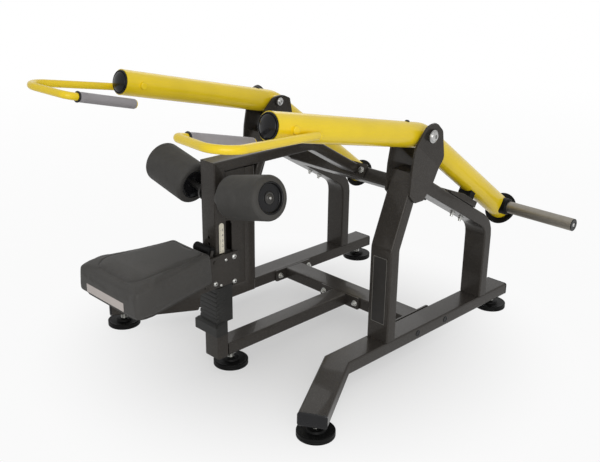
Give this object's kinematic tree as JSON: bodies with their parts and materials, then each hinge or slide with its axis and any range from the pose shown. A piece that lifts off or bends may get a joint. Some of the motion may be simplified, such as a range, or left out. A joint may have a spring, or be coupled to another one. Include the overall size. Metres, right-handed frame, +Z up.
{
  "type": "triceps press machine",
  "caption": "Plate-loaded seated triceps press machine: two yellow press arms with bent handles and steel weight horns, height-adjustable padded seat and thigh rollers on a dark frame.",
  "frame": {"origin": "on the floor under the middle of the bounding box", "axes": "+X to the machine's right side, +Y to the rear where the weight horns are, +Z up; the user faces the rear"},
  "size_m": [1.52, 1.7496, 1.0896],
  "materials": {
    "anthracite_paint": "satin metallic powder coat",
    "yellow_paint": "gloss powder coat",
    "black_plastic": "fine grain",
    "black_rubber": "matte",
    "grey_rubber": "matte",
    "bare_steel": "turned, satin",
    "zinc": "bright zinc",
    "vinyl": "matte synthetic leather",
    "plywood": "raw",
    "scale_cream": "printed strip"
  },
  "bodies": {
    "frame": {"right_runner": "anthracite_paint", "left_runner": "anthracite_paint", "right_front_cap": "black_plastic", "right_rear_cap": "black_plastic", "left_front_cap": "black_plastic", "left_rear_cap": "black_plastic", "centre_foot": "black_rubber", "right_front_foot": "black_rubber", "right_rear_foot": "black_rubber", "left_front_foot": "black_rubber", "left_rear_foot": "black_rubber", "right_front_leg": "anthracite_paint", "left_front_leg": "anthracite_paint", "right_rear_leg": "anthracite_paint", "left_rear_leg": "anthracite_paint", "lower_cross_beam": "anthracite_paint", "lower_spine": "anthracite_paint", "front_post": "anthracite_paint", "rear_post": "anthracite_paint", "top_beam": "anthracite_paint", "beam_strut": "anthracite_paint", "upper_cross_tube": "anthracite_paint", "height_scale": "scale_cream", "guide_sleeve": "black_plastic", "right_pivot_bracket": "anthracite_paint", "left_pivot_bracket": "anthracite_paint", "right_pivot_bolt": "zinc", "left_pivot_bolt": "zinc", "right_stop_bracket": "anthracite_paint", "left_stop_bracket": "anthracite_paint", "right_stop_pad": "black_rubber", "left_stop_pad": "black_rubber", "right_roller_axle": "zinc", "left_roller_axle": "zinc"},
    "right_arm": {"right_arm_tube": "yellow_paint", "right_arm_cap": "black_plastic", "right_arm_disc": "black_rubber", "right_handle_tube": "yellow_paint", "right_handle_grip": "grey_rubber", "right_weight_horn": "bare_steel", "right_horn_collar": "black_rubber"},
    "left_arm": {"left_arm_tube": "yellow_paint", "left_arm_cap": "black_plastic", "left_arm_disc": "black_rubber", "left_handle_tube": "yellow_paint", "left_handle_grip": "grey_rubber", "left_weight_horn": "bare_steel", "left_horn_collar": "black_rubber"},
    "seat": {"seat_carriage": "anthracite_paint", "seat_board": "plywood", "seat_cushion": "vinyl"},
    "front_upper_guide_roller": {"front_upper_roller": "black_plastic"},
    "front_lower_guide_roller": {"front_lower_roller": "black_plastic"},
    "rear_upper_guide_roller": {"rear_upper_roller": "black_plastic"},
    "rear_lower_guide_roller": {"rear_lower_roller": "black_plastic"},
    "seat_latch_lever": {"seat_lever": "zinc", "lever_grip": "black_plastic"},
    "latch": {"latch_pin": "zinc"},
    "right_pad": {"right_thigh_roller": "black_rubber"},
    "left_pad": {"left_thigh_roller": "black_rubber"}
  },
  "joints": [
    {"name": "right_arm_press", "type": "hinge", "parent": "frame", "child": "right_arm", "pos_m": [0.396, 0.20117, 0.885], "axis": [1, 0, 0], "range_deg": [0, 35]},
    {"name": "left_arm_press", "type": "hinge", "parent": "frame", "child": "left_arm", "pos_m": [-0.396, 0.20117, 0.885], "axis": [1, 0, 0], "range_deg": [0, 35]},
    {"name": "seat_height", "type": "slide", "parent": "frame", "child": "seat", "axis": [0, 0, 1], "range_m": [0, 0.115]},
    {"name": "seat_lever_pull", "type": "hinge", "parent": "seat", "child": "seat_latch_lever", "pos_m": [0, -0.50583, 0.378], "axis": [1, 0, 0], "range_deg": [0, 11], "stiffness_Nm_per_rad": 1.2, "springref_deg": -14.32},
    {"name": "latch_draw", "type": "slide", "parent": "seat", "child": "latch", "axis": [0, -1, 0], "range_m": [0, 0.0084]},
    {"name": "right_pad_spin", "type": "hinge", "parent": "frame", "child": "right_pad", "pos_m": [0, -0.42033, 0.683], "axis": [0.9744, 0, 0.225], "continuous": true},
    {"name": "left_pad_spin", "type": "hinge", "parent": "frame", "child": "left_pad", "pos_m": [0, -0.42033, 0.683], "axis": [-0.9744, 0, 0.225], "continuous": true},
    {"name": "front_upper_roller_spin", "type": "hinge", "parent": "seat", "child": "front_upper_guide_roller", "pos_m": [0, -0.46513, 0.462], "axis": [1, 0, 0], "range_deg": [-339, 0]},
    {"name": "front_lower_roller_spin", "type": "hinge", "parent": "seat", "child": "front_lower_guide_roller", "pos_m": [0, -0.46513, 0.381], "axis": [1, 0, 0], "range_deg": [-339, 0]},
    {"name": "rear_upper_roller_spin", "type": "hinge", "parent": "seat", "child": "rear_upper_guide_roller", "pos_m": [0, -0.37753, 0.463], "axis": [1, 0, 0], "range_deg": [0, 378]},
    {"name": "rear_lower_roller_spin", "type": "hinge", "parent": "seat", "child": "rear_lower_guide_roller", "pos_m": [0, -0.37753, 0.367], "axis": [1, 0, 0], "range_deg": [0, 378]}
  ],
  "couplings": [
    {"joint": "latch_draw", "follows": "seat_lever_pull", "m_per_rad": 0.0435},
    {"joint": "front_upper_roller_spin", "follows": "seat_height", "rad_per_m": -51.282},
    {"joint": "front_lower_roller_spin", "follows": "seat_height", "rad_per_m": -51.282},
    {"joint": "rear_upper_roller_spin", "follows": "seat_height", "rad_per_m": 57.143},
    {"joint": "rear_lower_roller_spin", "follows": "seat_height", "rad_per_m": 57.143}
  ]
}
